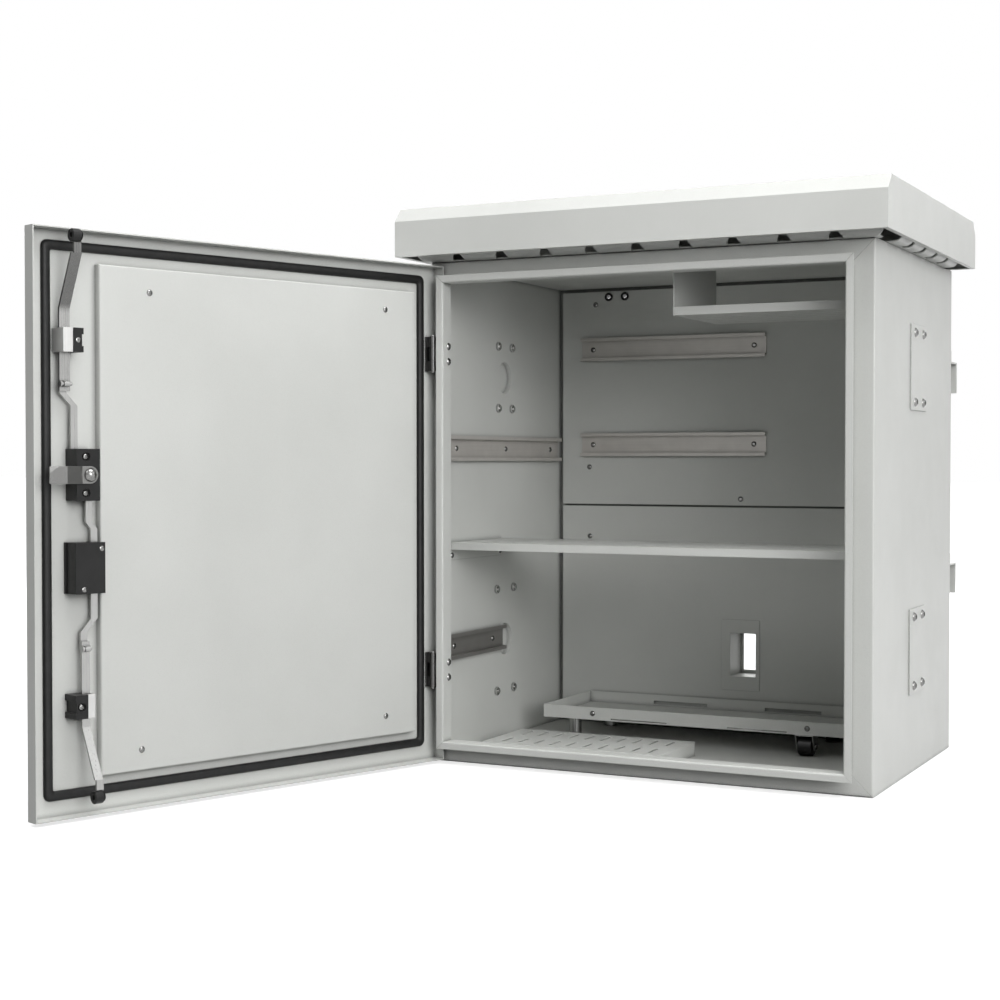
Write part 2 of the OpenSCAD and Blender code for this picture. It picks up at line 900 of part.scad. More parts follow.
// Cover plate with a round dish pressed outwards over the hole in the wall
module dished_cover_plate(z, size, bolts) {
    bore = cover_hole_r - gap;
    difference() {
        union() {
            cover_plate(z, size, bolts);
            translate([0, cover_y, z]) rod_x(half_w, half_w + cover_dish, bore + sheet);
        }
        translate([0, cover_y, z]) rod_x(0, half_w + cover_dish - sheet, bore);
    }
}

module small_cover_plates() {
    color(paint) at_front() {
        cover_plate(cover_high_z, cover_size, cover_bolts);
        cover_plate(cover_low_z, cover_size, cover_bolts);
        mirror([1, 0, 0]) dished_cover_plate(cover_high_z, cover_size, cover_bolts);
    }
}

module large_cover_plate() {
    color(paint) at_front() mirror([1, 0, 0])
        dished_cover_plate(cover_large_z, cover_large_size, cover_large_bolts);
}

// Bolt with its nut inside the right wall
module cover_bolt() {
    shank = cover_thick + sheet + cover_bolt_in;
    translate([half_w + cover_thick, 0, 0]) rotate([0, 90, 0])
        domed_screw(cover_head_r, cover_head_h, cover_bolt_r, shank);
    translate([wall_in, 0, 0]) rotate([0, -90, 0]) difference() {
        cylinder(h = cover_nut_t, r = cover_nut_r, $fn = 6);
        translate([0, 0, -cut]) cylinder(h = cover_nut_t + 2 * cut, r = cover_bolt_r + shank_gap);
    }
}

module cover_plate_bolts() {
    color(steel) at_front() {
        for (z = [cover_high_z, cover_low_z])
            translate([0, cover_y, z]) cover_bolt_places(cover_bolts) cover_bolt();
        mirror([1, 0, 0]) {
            translate([0, cover_y, cover_high_z]) cover_bolt_places(cover_bolts) cover_bolt();
            translate([0, cover_y, cover_large_z]) cover_bolt_places(cover_large_bolts) cover_bolt();
        }
    }
}

// Equipment rails

// Top-hat section, up the wall and out of it
module rail_profile() {
    w = rail_w / 2;
    b = rail_base_w / 2;
    polygon([
        [-w, rail_h], [-w, rail_h - rail_thick], [-b, rail_h - rail_thick], [-b, 0], [b, 0],
        [b, rail_h - rail_thick], [w, rail_h - rail_thick], [w, rail_h],
        [b - rail_thick, rail_h], [b - rail_thick, rail_thick], [rail_thick - b, rail_thick],
        [rail_thick - b, rail_h]
    ]);
}

module rear_rail(z) {
    difference() {
        translate([rear_rail_x, plate_y, z])
            along_x(-rear_rail_len / 2, rear_rail_len / 2)
                rotate(-90) mirror([1, 0]) rotate(180) rail_profile();
        for (side = [-1, 1])
            screw_hole_front([rear_rail_x + side * rear_rail_screw, plate_y - rail_thick, z]);
    }
}

module rear_upper_rail() {
    color(zinc) at_front() rear_rail(rear_rail_high_z);
}

module rear_lower_rail() {
    color(zinc) at_front() rear_rail(rear_rail_low_z);
}

module side_rail(z, ends, screws) {
    difference() {
        translate([-wall_in, ends[0], z])
            rotate([-90, 0, 0]) rotate([0, 0, 90])
                linear_extrude(ends[1] - ends[0]) mirror([0, 1]) rail_profile();
        for (y = screws) screw_hole_right([rail_thick - wall_in, y, z]);
    }
}

module side_long_rail() {
    color(zinc) at_front() side_rail(side_rail_z, side_rail_y, side_rail_screws);
}

module side_short_rail() {
    color(zinc) at_front() side_rail(short_rail_z, short_rail_y, short_rail_screws);
}

// Screws of the rails and of the mounting plates
module wall_screws() {
    color(steel) at_front() {
        for (z = [rear_rail_high_z, rear_rail_low_z], side = [-1, 1])
            screw_front([rear_rail_x + side * rear_rail_screw, plate_y - rail_thick, z]);
        for (p = plate_screws) screw_front([p[0], plate_y, p[1]]);
        for (y = side_rail_screws) wall_stud([-wall_in, y, side_rail_z]);
        for (y = short_rail_screws) wall_stud([-wall_in, y, short_rail_z]);
    }
}

// Short screw on a stud of the left wall
module wall_stud(p) {
    translate(p + [rail_thick, 0, 0]) rotate([0, 90, 0])
        domed_screw(screw_head_r, screw_head_h, screw_r, rail_thick);
}

// Shelves, vent cover and tray

// Rows of slots through a level sheet, centred on a point
module slot_grid(centre, columns, rows, pitch, size) {
    for (i = [0:columns - 1], j = [0:rows - 1])
        translate(centre + [(i - (columns - 1) / 2) * pitch[0], (j - (rows - 1) / 2) * pitch[1], 0])
            cube([size[0], size[1], vent_top], center = true);
}

module shelf_screw_places() {
    for (y = shelf_screw_y)
        translate([0, shelf_y + y, shelf_z - shelf_screw_drop]) children();
}

module middle_shelf() {
    back = shelf_y + shelf_d;
    low = shelf_z - shelf_side;
    color(paint) at_front() difference() {
        union() {
            block([-fit_half, shelf_y, shelf_z - sheet], [fit_half, back, shelf_z]);
            block([-fit_half, shelf_y, shelf_z - shelf_lip], [fit_half, shelf_y + sheet, shelf_z]);
            block([-fit_half, back - sheet, shelf_z - shelf_lip], [fit_half, back, shelf_z]);
            for (side = [0, 1]) mirror([side, 0, 0])
                block([fit_half - sheet, shelf_y, low], [fit_half, back, shelf_z]);
        }
        slot_grid([0, shelf_y + shelf_d / 2, shelf_z], shelf_columns, shelf_rows,
            [body_w / (shelf_columns + 1), shelf_d / (shelf_rows + 1)], shelf_slot);
        shelf_screw_places() rod_x(-body_w, body_w, screw_r + shank_gap);
    }
}

module hanging_shelf() {
    back = shelf_y + shelf_d;
    long = fit_half - hang_left;
    color(paint) at_front() difference() {
        union() {
            block([hang_left, shelf_y, hang_z], [fit_half, back, hang_z + sheet]);
            block([hang_left, shelf_y, hang_z], [fit_half, shelf_y + sheet, hang_z + hang_lip]);
            block([hang_left, shelf_y, hang_z], [hang_left + sheet, back, ceiling]);
            block([hang_left - hang_flange, shelf_y, ceiling - sheet], [hang_left + sheet, back, ceiling]);
            block([fit_half - sheet, shelf_y, hang_z], [fit_half, back, hang_z + hang_flange]);
        }
        slot_grid([(fit_half + hang_left) / 2, shelf_y + shelf_d / 2, hang_z], hang_columns, hang_rows,
            [long / (hang_columns + 1), shelf_d / (hang_rows + 1)], hang_slot);
    }
}

// Screws of the middle shelf and of the equipment tray
module shelf_screws() {
    color(steel) at_front() {
        for (side = [0, 1]) mirror([side, 0, 0])
            shelf_screw_places() translate([sheet - fit_half, 0, 0]) rotate([0, 90, 0])
                domed_screw(screw_head_r, screw_head_h, screw_r, sheet);
        for (side = [-1, 1]) screw_front([tray_x + side * tray_screw_x, tray_y[0], tray_z + tray_screw_z]);
    }
}

module floor_vent_cover() {
    mid = [(vent_x[0] + vent_x[1]) / 2, (vent_y[0] + vent_y[1]) / 2, vent_top];
    pitch = [(vent_x[1] - vent_x[0]) / (vent_columns + 1), (vent_y[1] - vent_y[0]) / vent_rows];
    color(paint) at_front() difference() {
        block([vent_x[0], vent_y[0], sheet], [vent_x[1], vent_y[1], vent_top]);
        block([vent_x[0] + sheet, vent_y[0] + sheet, 0],
            [vent_x[1] - sheet, vent_y[1] - sheet, vent_top - sheet]);
        slot_grid(mid, vent_columns, vent_rows, pitch, vent_slot);
    }
}

module equipment_tray() {
    x0 = tray_x - tray_w / 2;
    x1 = tray_x + tray_w / 2;
    top = tray_z + tray_h;
    color(paint) at_front() difference() {
        block([x0, tray_y[0], tray_z], [x1, tray_y[1], top]);
        block([x0 + sheet, tray_y[0] + sheet, tray_z + sheet], [x1 - sheet, tray_y[1] - sheet, top + cut]);
        slot_grid([tray_x, (tray_y[0] + tray_y[1]) / 2, tray_z], tray_slots, 1,
            [tray_slot_pitch, 0], tray_slot);
        for (x = tray_cut_x) {
            block([tray_x + x - tray_cut_w / 2, tray_y[0] - cut, tray_z + sheet],
                [tray_x + x + tray_cut_w / 2, tray_y[0] + 2 * sheet, tray_z + sheet + tray_cut_h]);
            block([tray_x + x - tray_cut_w / 2, tray_y[1] - 2 * sheet, tray_z + tray_rear_cut[0]],
                [tray_x + x + tray_cut_w / 2, tray_y[1] + cut, tray_z + tray_rear_cut[1]]);
        }
        for (side = [-1, 1])
            screw_hole_front([tray_x + side * tray_screw_x, tray_y[0], tray_z + tray_screw_z]);
    }
}

module tray_posts() {
    color(zinc) at_front() for (y = post_y)
        translate([post_x, y, sheet]) cylinder(h = tray_z - sheet, r = post_r);
}

module caster_places() {
    for (y = caster_y)
        translate([caster_x, y, 0]) children();
}

// Cheek of a caster fork, tapering to the axle
module fork_cheek() {
    top = tray_z - fork_plate;
    in = wheel_w / 2 + fork_gap;
    along_x(in, in + fork_thick) polygon([
        [-fork_half, top], [-fork_tip, wheel_z - fork_tip], [fork_tip, wheel_z - fork_tip], [fork_half, top]
    ]);
}

module caster_forks() {
    out = wheel_w / 2 + fork_gap + fork_thick;
    color(zinc) at_front() caster_places() difference() {
        union() {
            block([-out, -fork_half, tray_z - fork_plate], [out, fork_half, tray_z]);
            for (side = [0, 1]) mirror([side, 0, 0]) fork_cheek();
        }
        translate([0, 0, wheel_z]) rod_x(-body_w, body_w, axle_r + shank_gap);
    }
}

module caster_axles() {
    out = wheel_w / 2 + fork_gap + fork_thick;
    color(steel) at_front() caster_places() translate([0, 0, wheel_z]) {
        rod_x(-out - axle_head_t, out + axle_head_t, axle_r);
        for (side = [0, 1]) mirror([side, 0, 0]) rod_x(out, out + axle_head_t, axle_head_r);
    }
}

module caster_wheel(y) {
    translate([caster_x, y, wheel_z]) difference() {
        rod_x(-wheel_w / 2, wheel_w / 2, wheel_r);
        rod_x(-wheel_w, wheel_w, axle_r + run_fit);
    }
}

module front_caster_wheel() {
    color(black) at_front() caster_wheel(caster_y[0]);
}

module rear_caster_wheel() {
    color(black) at_front() caster_wheel(caster_y[1]);
}

// Hinges

module hinge_heights() {
    for (z = [hinge_low_z, hinge_high_z])
        translate([0, 0, z]) children();
}

module barrel(z0, z1) {
    translate([0, 0, z0]) cylinder(h = z1 - z0, r = barrel_r);
}

module hinge_body_leaves() {
    face = -open_half - sheet;
    half = body_knuckle / 2;
    color(steel) at_front() hinge_heights() difference() {
        union() {
            block([face - leaf_t, pin_y - leaf_t / 2, -hinge_len / 2], [face, -leaf_low_y, hinge_len / 2]);
            block([pin_x, pin_y - leaf_t / 2, -half], [face, pin_y + leaf_t / 2, half]);
            translate([pin_x, pin_y, 0]) barrel(-half, half);
        }
        translate([pin_x, pin_y, -hinge_len]) cylinder(h = 2 * hinge_len, r = hinge_pin_r + run_fit / 2);
        for (step = [-1, 1])
            translate([face, -hinge_bolt_y, step * hinge_bolt_step])
                rod_x(-leaf_t - cut, cut, hinge_bolt_r + shank_gap);
    }
}

module hinge_pins() {
    color(zinc) at_front() hinge_heights() translate([pin_x, pin_y, 0]) {
        translate([0, 0, -hinge_len / 2 - gap]) cylinder(h = hinge_len + 2 * gap, r = hinge_pin_r);
        for (side = [0, 1]) mirror([0, 0, side])
            translate([0, 0, hinge_len / 2 + gap]) cylinder(h = pin_head_h, r = pin_head_r);
    }
}

module hinge_bolts() {
    color(steel) at_front() hinge_bolt_places() rotate([0, 90, 0])
        domed_screw(hinge_head_r, hinge_head_h, hinge_bolt_r, sheet + leaf_t);
}

module hinge_door_leaves() {
    half = hinge_len / 2;
    start = body_knuckle / 2 + gap;
    color(steel) on_door() hinge_heights() difference() {
        union() {
            block([door_leaf_s[0], sheet, -half], [door_leaf_s[1], sheet + leaf_t, half]);
            for (side = [0, 1]) mirror([0, 0, side]) {
                block([pin_s - leaf_t / 2, sheet, start], [pin_s + leaf_t / 2, pin_t, half]);
                translate([pin_s, pin_t, 0]) barrel(start, half);
            }
        }
        translate([pin_s, pin_t, -hinge_len]) cylinder(h = 2 * hinge_len, r = hinge_pin_r + run_fit);
    }
}

// Door

module door_pan() {
    top = door_low + door_h;
    color(paint) on_door() difference() {
        mirror([0, 1, 0]) folded_box([0, -door_depth, door_low], [door_w, 0, top]);
        block([sheet, sheet, door_low + sheet], [door_w - sheet, door_depth + cut, top - sheet]);
        translate([spindle_s, 0, spindle_z]) rod_y(-cut, sheet + cut, spindle_r + run_fit);
        translate([spindle_s, 0, key_z]) rod_y(-cut, sheet + cut, key_r + run_fit);
    }
}

module door_gasket() {
    half = gasket_w / 2;
    low = [door_over + gasket_hinge, gasket_low];
    high = [door_w - door_over - gasket_free, body_h - gasket_top];
    color(black) on_door() slab(sheet, sheet + gasket_h) difference() {
        rounded_outline(low - [half, half], high + [half, half], gasket_outer);
        rounded_outline(low + [half, half], high - [half, half], gasket_corner);
    }
}

// Seats of the inner panel's screws: across, depth and height on the door
function panel_screw_seats() = [
    [panel_hinge_s + panel_screw_s, panel_t, panel_low_z + panel_screw_z],
    [panel_hinge_s + panel_screw_s, panel_t, body_h - panel_drop - panel_screw_z],
    [door_w - panel_free_in - panel_screw_free[0], panel_t, panel_low_z + panel_screw_free_z[0]],
    [door_w - panel_free_in - panel_screw_free[1], panel_t, body_h - panel_drop - panel_screw_free_z[1]]
];

module panel_screw_places() {
    for (p = panel_screw_seats()) translate(p) children();
}

module door_inner_panel() {
    s1 = door_w - panel_free_in;
    top = body_h - panel_drop;
    color(paint) on_door() difference() {
        folded_box([panel_hinge_s, sheet, panel_low_z], [s1, panel_t, top]);
        block([panel_hinge_s + sheet, 0, panel_low_z + sheet], [s1 - sheet, panel_t - sheet, top - sheet]);
        panel_screw_places() rod_y(-screw_len - cut, cut, screw_r + shank_gap);
    }
}

module door_panel_screws() {
    color(steel) on_door() panel_screw_places() rotate([-90, 0, 0])
        domed_screw(screw_head_r, screw_head_h, screw_r, screw_len);
}

// Lock

// Seats of the lock screws: across, depth and height on the door
function recessed_seats() = [
    [spindle_s + case_screw_s, case_t - recess, spindle_z + case_screw_z],
    [spindle_s + case_screw_s, case_t - recess, spindle_z - case_screw_z],
    [lower_rod_s + lower_split + lower_guide_screw, lower_clip_t + guide_rise - recess, lower_guide_z]
];

function flush_seats() = [
    [upper_rod_s - upper_split - upper_guide_screw, upper_clip_t + guide_rise, upper_guide_z],
    [box_s[0] + box_screw_high[0], box_t, box_z[1] - box_screw_high[1]],
    [box_s[0] + box_screw_low[0], box_t, box_z[0] + box_screw_low[1]]
];

module lock_screw_holes() {
    for (p = concat(recessed_seats(), flush_seats()))
        translate(p) rod_y(-screw_len - cut, cut, screw_r + shank_gap);
    for (p = recessed_seats())
        translate(p) rod_y(0, recess + cut, recess_r);
}

module lock_screws() {
    color(steel) on_door() {
        for (p = recessed_seats())
            translate(p) rotate([-90, 0, 0]) domed_screw(lock_head_r, lock_head_h, screw_r, screw_len);
        for (p = flush_seats())
            translate(p) rotate([-90, 0, 0]) domed_screw(box_head_r, box_head_h, screw_r, screw_len);
    }
}

// Room for a drive rod in the lock case, over its travel
module case_slot(s, z0, z1) {
    half = drive_w / 2 + case_slot_gap;
    block([s - half, drive_t[0] - case_slot_gap, z0], [s + half, drive_t[1] + case_slot_gap, z1]);
}

module lock_case() {
    low = spindle_z - case_h / 2;
    high = spindle_z + case_h / 2;
    end = rod_travel + cut;
    color(black) on_door() difference() {
        block([spindle_s - case_w / 2, sheet, low], [spindle_s + case_w / 2, case_t, high]);
        translate([spindle_s, 0, spindle_z]) rod_y(0, case_t + cut, spindle_r + run_fit);
        case_slot(upper_drive_s, high - cut - end, high + cut);
        case_slot(lower_drive_s, low - cut, low + cut + end);
        lock_screw_holes();
    }
}

module handle_cover_box() {
    color(black) on_door() difference() {
        union() {
            block([box_s[0], sheet, box_z[0]], [box_s[1], box_t, box_z[1]]);
            block([box_s[0], sheet, box_z[0]], [box_s[1] + box_foot[0], sheet + box_foot[1], box_z[1]]);
        }
        block([box_s[0] - cut, 0, box_z[0] - cut], [channel_s, channel_t, box_z[1] + cut]);
        translate([spindle_s, 0, key_z]) rod_y(0, sheet + key_depth + gap, key_r + gap);
        lock_screw_holes();
    }
}

// Guide of a lock rod, drawn with its block towards +X from the rod's middle
module guide_block(rod_w, split, width, clip_t) {
    outer = split + width;
    top = clip_t + guide_rise;
    rod_side = rod_w / 2 + gap;
    difference() {
        union() {
            block([-rod_side, sheet, -guide_h / 2], [outer, guide_base_t, guide_h / 2]);
            block([rod_side, sheet, -guide_h / 2], [outer, top, guide_h / 2]);
            block([split, clip_t, -guide_h / 2], [outer, top, guide_h / 2]);
        }
        block([outer - guide_notch[0], 0, -guide_notch[1] / 2], [outer + cut, top + cut, guide_notch[1] / 2]);
    }
}

module guide_clip(rod_w, split, clip_t) {
    side = rod_w / 2 + gap + clip_thick;
    out = clip_t + clip_thick;
    block([-side, clip_t, -guide_h / 2], [split - shank_gap, out, guide_h / 2]);
    block([-side, sheet, -guide_h / 2], [clip_thick - side, out, guide_h / 2]);
}

module upper_guide_place() {
    translate([upper_rod_s, 0, upper_guide_z]) mirror([1, 0, 0]) children();
}

module lower_guide_place() {
    translate([lower_rod_s, 0, lower_guide_z]) children();
}

module rod_guide_blocks() {
    color(black) on_door() difference() {
        union() {
            upper_guide_place() guide_block(upper_lock_w, upper_split, upper_block_w, upper_clip_t);
            lower_guide_place() guide_block(lower_lock_w, lower_split, lower_block_w, lower_clip_t);
        }
        lock_screw_holes();
    }
}

module rod_guide_clips() {
    color(zinc) on_door() {
        upper_guide_place() guide_clip(upper_lock_w, upper_split, upper_clip_t);
        lower_guide_place() guide_clip(lower_lock_w, lower_split, lower_clip_t);
    }
}

// Flat bar of constant width along a path of points
module path_bar(points, width) {
    count = len(points);
    polygon(concat(
        [for (p = points) p + [width / 2, 0]],
        [for (i = [1:count]) points[count - i] - [width / 2, 0]]
    ));
}

// Pin that joins a drive rod to a lock rod
module joint_pin(s, z) {
    translate([s, 0, z]) {
        rod_y(drive_t[0], lock_t[0] - gap / 2, joint_pin_r);
        rod_y(drive_t[0], lock_mid_t, joint_pin_r / 2);
    }
}

module upper_drive_rod() {
    start = spindle_z + case_h / 2 - cut;
    top = upper_joint_z + joint_pin_r;
    color(zinc) on_door() {
        slab(drive_t[0], drive_t[1]) path_bar([
            [upper_drive_s, start], [upper_drive_s, upper_joint_z - upper_jog[1]],
            [upper_rod_s, upper_joint_z - upper_jog[0]], [upper_rod_s, top]
        ], drive_w);
        joint_pin(upper_rod_s, upper_joint_z);
    }
}

module lower_drive_rod() {
    start = spindle_z - case_h / 2 + cut;
    color(zinc) on_door() {
        slab(drive_t[0], drive_t[1]) path_bar([
            [lower_drive_s, start], [lower_drive_s, start - case_jog[0]],
            [lower_drive_mid_s, start - case_jog[1]],
            [lower_drive_mid_s, lower_joint_z + lower_jog[1]],
            [lower_rod_s, lower_joint_z + lower_jog[0]], [lower_rod_s, lower_joint_z - joint_pin_r]
        ], drive_w);
        joint_pin(lower_rod_s, lower_joint_z);
    }
}

// Lug with a headed cross pin on a lock rod, over its joint
module joint_lug(width, z) {
    mid_t = lock_t[1] + lug_rise;
    half = width / 2;
    translate([0, 0, z]) {
        block([-lug_half, lock_mid_t, -lug_half], [lug_half, mid_t, lug_half]);
        translate([0, mid_t, 0]) {
            rod_x(-lug_half, lug_half, lug_half);
            rod_x(-half, half, lug_pin_r);
            rod_x(half, half + lug_head_t, lug_head_r);
        }
    }
}

// Lock rod from its joint to its roller pin; dir is 1 upwards and -1 downwards
module lock_rod(s, joint_z, bend_z, roller_z, width, dir) {
    start = joint_z - dir * 2 * joint_pin_r;
    shoulder = roller_z - dir * (roller_r + shoulder_len);
    arm = roller_off - roller_len / 2 - gap - web_w;
    translate([s, 0, 0]) difference() {
        union() {
            along_x(-width / 2, width / 2)
                path_bar([[lock_mid_t, start], [lock_mid_t, bend_z], [roller_t, shoulder]], lock_thick);
            along_x(arm, arm + tongue_w)
                path_bar([[roller_t, shoulder], [roller_t, roller_z - dir * (roller_r + gap)]], lock_thick);
            along_x(arm, arm + web_w)
                path_bar([[roller_t, shoulder], [roller_t, roller_z]], lock_thick);
            joint_lug(width, joint_z);
            translate([0, roller_t, roller_z]) {
                rod_x(arm, arm + web_w, eye_r);
                rod_x(arm, roller_off + roller_len / 2 - roller_pin_in, roller_pin_r);
            }
        }
        translate([0, 0, joint_z]) rod_y(0, lock_t[1], joint_pin_r / 2 + shank_gap);
    }
}

module upper_lock_rod() {
    color(zinc) on_door()
        lock_rod(upper_rod_s, upper_joint_z, upper_bend_z, upper_roller_z, upper_lock_w, 1);
}

module lower_lock_rod() {
    color(zinc) on_door()
        lock_rod(lower_rod_s, lower_joint_z, lower_bend_z, lower_roller_z, lower_lock_w, -1);
}

// Roller on the pin beside the rod's arm
module roller(s, z) {
    translate([s + roller_off, roller_t, z]) difference() {
        rod_x(-roller_len / 2, roller_len / 2, roller_r);
        rod_x(-roller_len, roller_len, roller_pin_r + run_fit);
    }
}

module upper_roller() {
    color(black) on_door() roller(upper_rod_s, upper_roller_z);
}

module lower_roller() {
    color(black) on_door() roller(lower_rod_s, lower_roller_z);
}

// Handle

module at_spindle() {
    translate([spindle_s, 0, spindle_z]) children();
}

module handle_base() {
    color(black) on_door() difference() {
        union() {
            for (z = [spindle_z, key_z]) translate([spindle_s, 0, z]) rod_y(-handle_base_t, 0, handle_r);
            block([spindle_s - handle_r, -handle_base_t, key_z], [spindle_s + handle_r, 0, spindle_z]);
        }
        at_spindle() rod_y(-handle_base_t - cut, cut, spindle_r + run_fit);
        translate([spindle_s, 0, key_z]) rod_y(-handle_base_t - cut, cut, key_r + run_fit);
    }
}

// Depths of the handle in front of the door
hub_back_t = -handle_base_t - gap;
hub_front_t = hub_back_t - hub_t;
lever_mid_t = hub_front_t - gap - lever_t / 2;

module handle_hub() {
    color(steel) on_door() at_spindle() {
        rod_y(hub_front_t, hub_back_t, hub_r);
        rod_y(hub_back_t - cut, cam_base_t, spindle_r);
        block([-tongue_half, lever_mid_t, -tongue_half], [tongue_half, hub_front_t + cut, tongue_half]);
        translate([0, lever_mid_t, 0]) {
            rod_x(-tongue_half, tongue_half, tongue_half);
            rod_x(-lever_w / 2, lever_w / 2, lever_pin_r);
        }
    }
}

module handle_lever() {
    low = key_z + key_r + lever_tip_gap - spindle_z;
    color(black) on_door() at_spindle() translate([0, lever_mid_t, 0]) difference() {
        union() {
            rod_x(-lever_w / 2, lever_w / 2, lever_t / 2);
            block([-lever_w / 2, -lever_t / 2, low], [lever_w / 2, lever_t / 2, 0]);
        }
        block([-tongue_half - gap, -lever_t, -lever_slot], [tongue_half + gap, lever_t, lever_t]);
        rod_x(-lever_w, lever_w, lever_pin_r + run_fit);
    }
}

// Sloped facet over one corner of the cam's tip
module cam_facet_cut() {
    top = cam_tip_t - cam_base_t + cam_thick;
    translate([cam_len - cam_facet[0], top, cam_w / 2]) rotate([0, atan2(cam_facet[1], cam_facet[0]), 0])
        along_x(-cam_w, cam_w) polygon([
            [0, 0], [-cam_facet_drop, cam_facet[1]], [cam_thick, cam_facet[1]], [cam_thick, 0]
        ]);
}

module lock_cam() {
    tip = cam_tip_t - cam_base_t;
    color(zinc) on_door() at_spindle() translate([0, cam_base_t, 0]) difference() {
        union() {
            intersection() {
                translate([0, 0, -cam_w / 2]) linear_extrude(cam_w) polygon([
                    [0, 0], [cam_bend[0], 0], [cam_bend[1], tip], [cam_len, tip], [cam_len, tip + cam_thick],
                    [cam_bend[1] - cam_thick / 2, tip + cam_thick], [cam_bend[0] - cam_thick / 2, cam_thick],
                    [0, cam_thick]
                ]);
                slab(-cut, tip + cam_thick + cut)
                    rounded_outline([-cam_w, -cam_w / 2], [cam_len, cam_w / 2], cam_corner);
            }
            rod_y(0, cam_thick, cam_w / 2);
        }
        rod_y(-cut, cam_thick + cut, spindle_r / 2 + shank_gap);
        cam_facet_cut();
        mirror([0, 0, 1]) cam_facet_cut();
    }
}

module cam_bolt() {
    color(steel) on_door() at_spindle() translate([0, cam_base_t, 0]) {
        translate([0, cam_thick, 0]) rotate([-90, 0, 0]) dome(cam_bolt_r, cam_bolt_h);
        rod_y(0, cam_thick + cam_bolt_h / 2, spindle_r / 2);
    }
}

module key_plug() {
    front_t = -handle_base_t - key_front;
    color(steel) on_door() translate([spindle_s, 0, key_z]) difference() {
        rod_y(front_t, sheet + key_depth, key_r);
        translate([0, front_t, 0]) cube([key_slot[0], 2 * key_slot[2], key_slot[1]], center = true);
    }
}

left_side_panel();
right_side_panel();
top_panel();
bottom_panel();
rear_panel();
upper_mounting_plate();
lower_mounting_plate();
cable_window();
cable_bushings();
roof_hood();
front_vent_strip();
rear_vent_strip();
left_vent_strip();
right_vent_strip();
upper_hanging_rail();
lower_hanging_rail();
small_cover_plates();
large_cover_plate();
cover_plate_bolts();
rear_upper_rail();
rear_lower_rail();
side_long_rail();
side_short_rail();
wall_screws();
middle_shelf();
hanging_shelf();
shelf_screws();
floor_vent_cover();
equipment_tray();
tray_posts();
caster_forks();
caster_axles();
front_caster_wheel();
rear_caster_wheel();
hinge_body_leaves();
hinge_pins();
hinge_bolts();
door_pan();
door_gasket();
door_inner_panel();
door_panel_screws();
hinge_door_leaves();
lock_case();
handle_cover_box();
lock_screws();
rod_guide_blocks();
rod_guide_clips();
handle_base();
handle_hub();
lock_cam();
cam_bolt();
handle_lever();
key_plug();
upper_drive_rod();
upper_lock_rod();
lower_drive_rod();
lower_lock_rod();
upper_roller();
lower_roller();
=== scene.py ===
import math

import bpy
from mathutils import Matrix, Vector


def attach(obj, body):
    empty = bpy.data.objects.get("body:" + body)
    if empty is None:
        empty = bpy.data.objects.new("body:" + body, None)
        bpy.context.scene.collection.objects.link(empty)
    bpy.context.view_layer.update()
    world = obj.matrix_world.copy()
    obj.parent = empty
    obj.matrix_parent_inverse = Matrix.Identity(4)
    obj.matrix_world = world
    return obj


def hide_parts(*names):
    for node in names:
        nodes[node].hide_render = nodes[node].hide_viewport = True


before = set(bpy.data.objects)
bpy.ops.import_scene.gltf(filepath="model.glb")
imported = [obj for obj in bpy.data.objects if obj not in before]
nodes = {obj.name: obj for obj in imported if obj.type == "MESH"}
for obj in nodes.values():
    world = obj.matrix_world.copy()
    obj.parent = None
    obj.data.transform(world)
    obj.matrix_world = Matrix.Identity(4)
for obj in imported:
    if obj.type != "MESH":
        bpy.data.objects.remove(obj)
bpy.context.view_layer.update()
scene = bpy.context.scene


# Material helpers; lengths are in metres and noise scales in lumps per metre

MIDDLE_OF_NOISE = (0.3, 0.7)
# Painted shade in creases and corners, found by ambient occlusion
CREVICE_SAMPLES = 6
CREVICE_SPAN = (0.15, 0.8)


def new_material(name):
    """A node material, with its tree, its main shader and its texture coordinates."""
    mat = bpy.data.materials.new(name)
    mat.use_nodes = True
    tree = mat.node_tree
    shader = tree.nodes["Principled BSDF"]
    coords = tree.nodes.new("ShaderNodeTexCoord")
    return mat, tree, shader, coords


def noise(tree, coords, scale, detail, stretch=None):
    """Noise over the object's own coordinates; stretch scales each axis."""
    tex = tree.nodes.new("ShaderNodeTexNoise")
    tex.inputs["Scale"].default_value = scale
    tex.inputs["Detail"].default_value = detail
    source = coords.outputs["Object"]
    if stretch:
        mapping = tree.nodes.new("ShaderNodeMapping")
        mapping.inputs["Scale"].default_value = stretch
        tree.links.new(source, mapping.inputs["Vector"])
        source = mapping.outputs["Vector"]
    tree.links.new(source, tex.inputs["Vector"])
    return tex.outputs["Fac"]


def ramp(tree, factor, low, high, start=0.35, end=0.65):
    """Blend from one colour to another over a stretch of a factor."""
    node = tree.nodes.new("ShaderNodeValToRGB")
    node.color_ramp.elements[0].position = start
    node.color_ramp.elements[0].color = (*low, 1)
    node.color_ramp.elements[1].position = end
    node.color_ramp.elements[1].color = (*high, 1)
    tree.links.new(factor, node.inputs["Fac"])
    return node.outputs["Color"]


def map_range(tree, value, source, target=(0.0, 1.0)):
    """Map a value from one range to another and hold it there."""
    node = tree.nodes.new("ShaderNodeMapRange")
    node.inputs["From Min"].default_value, node.inputs["From Max"].default_value = source
    node.inputs["To Min"].default_value, node.inputs["To Max"].default_value = target
    tree.links.new(value, node.inputs["Value"])
    return node.outputs["Result"]


def multiply(tree, a, b):
    node = tree.nodes.new("ShaderNodeMix")
    node.data_type = "RGBA"
    node.blend_type = "MULTIPLY"
    node.inputs["Factor"].default_value = 1.0
    tree.links.new(a, node.inputs["A"])
    tree.links.new(b, node.inputs["B"])
    return node.outputs["Result"]


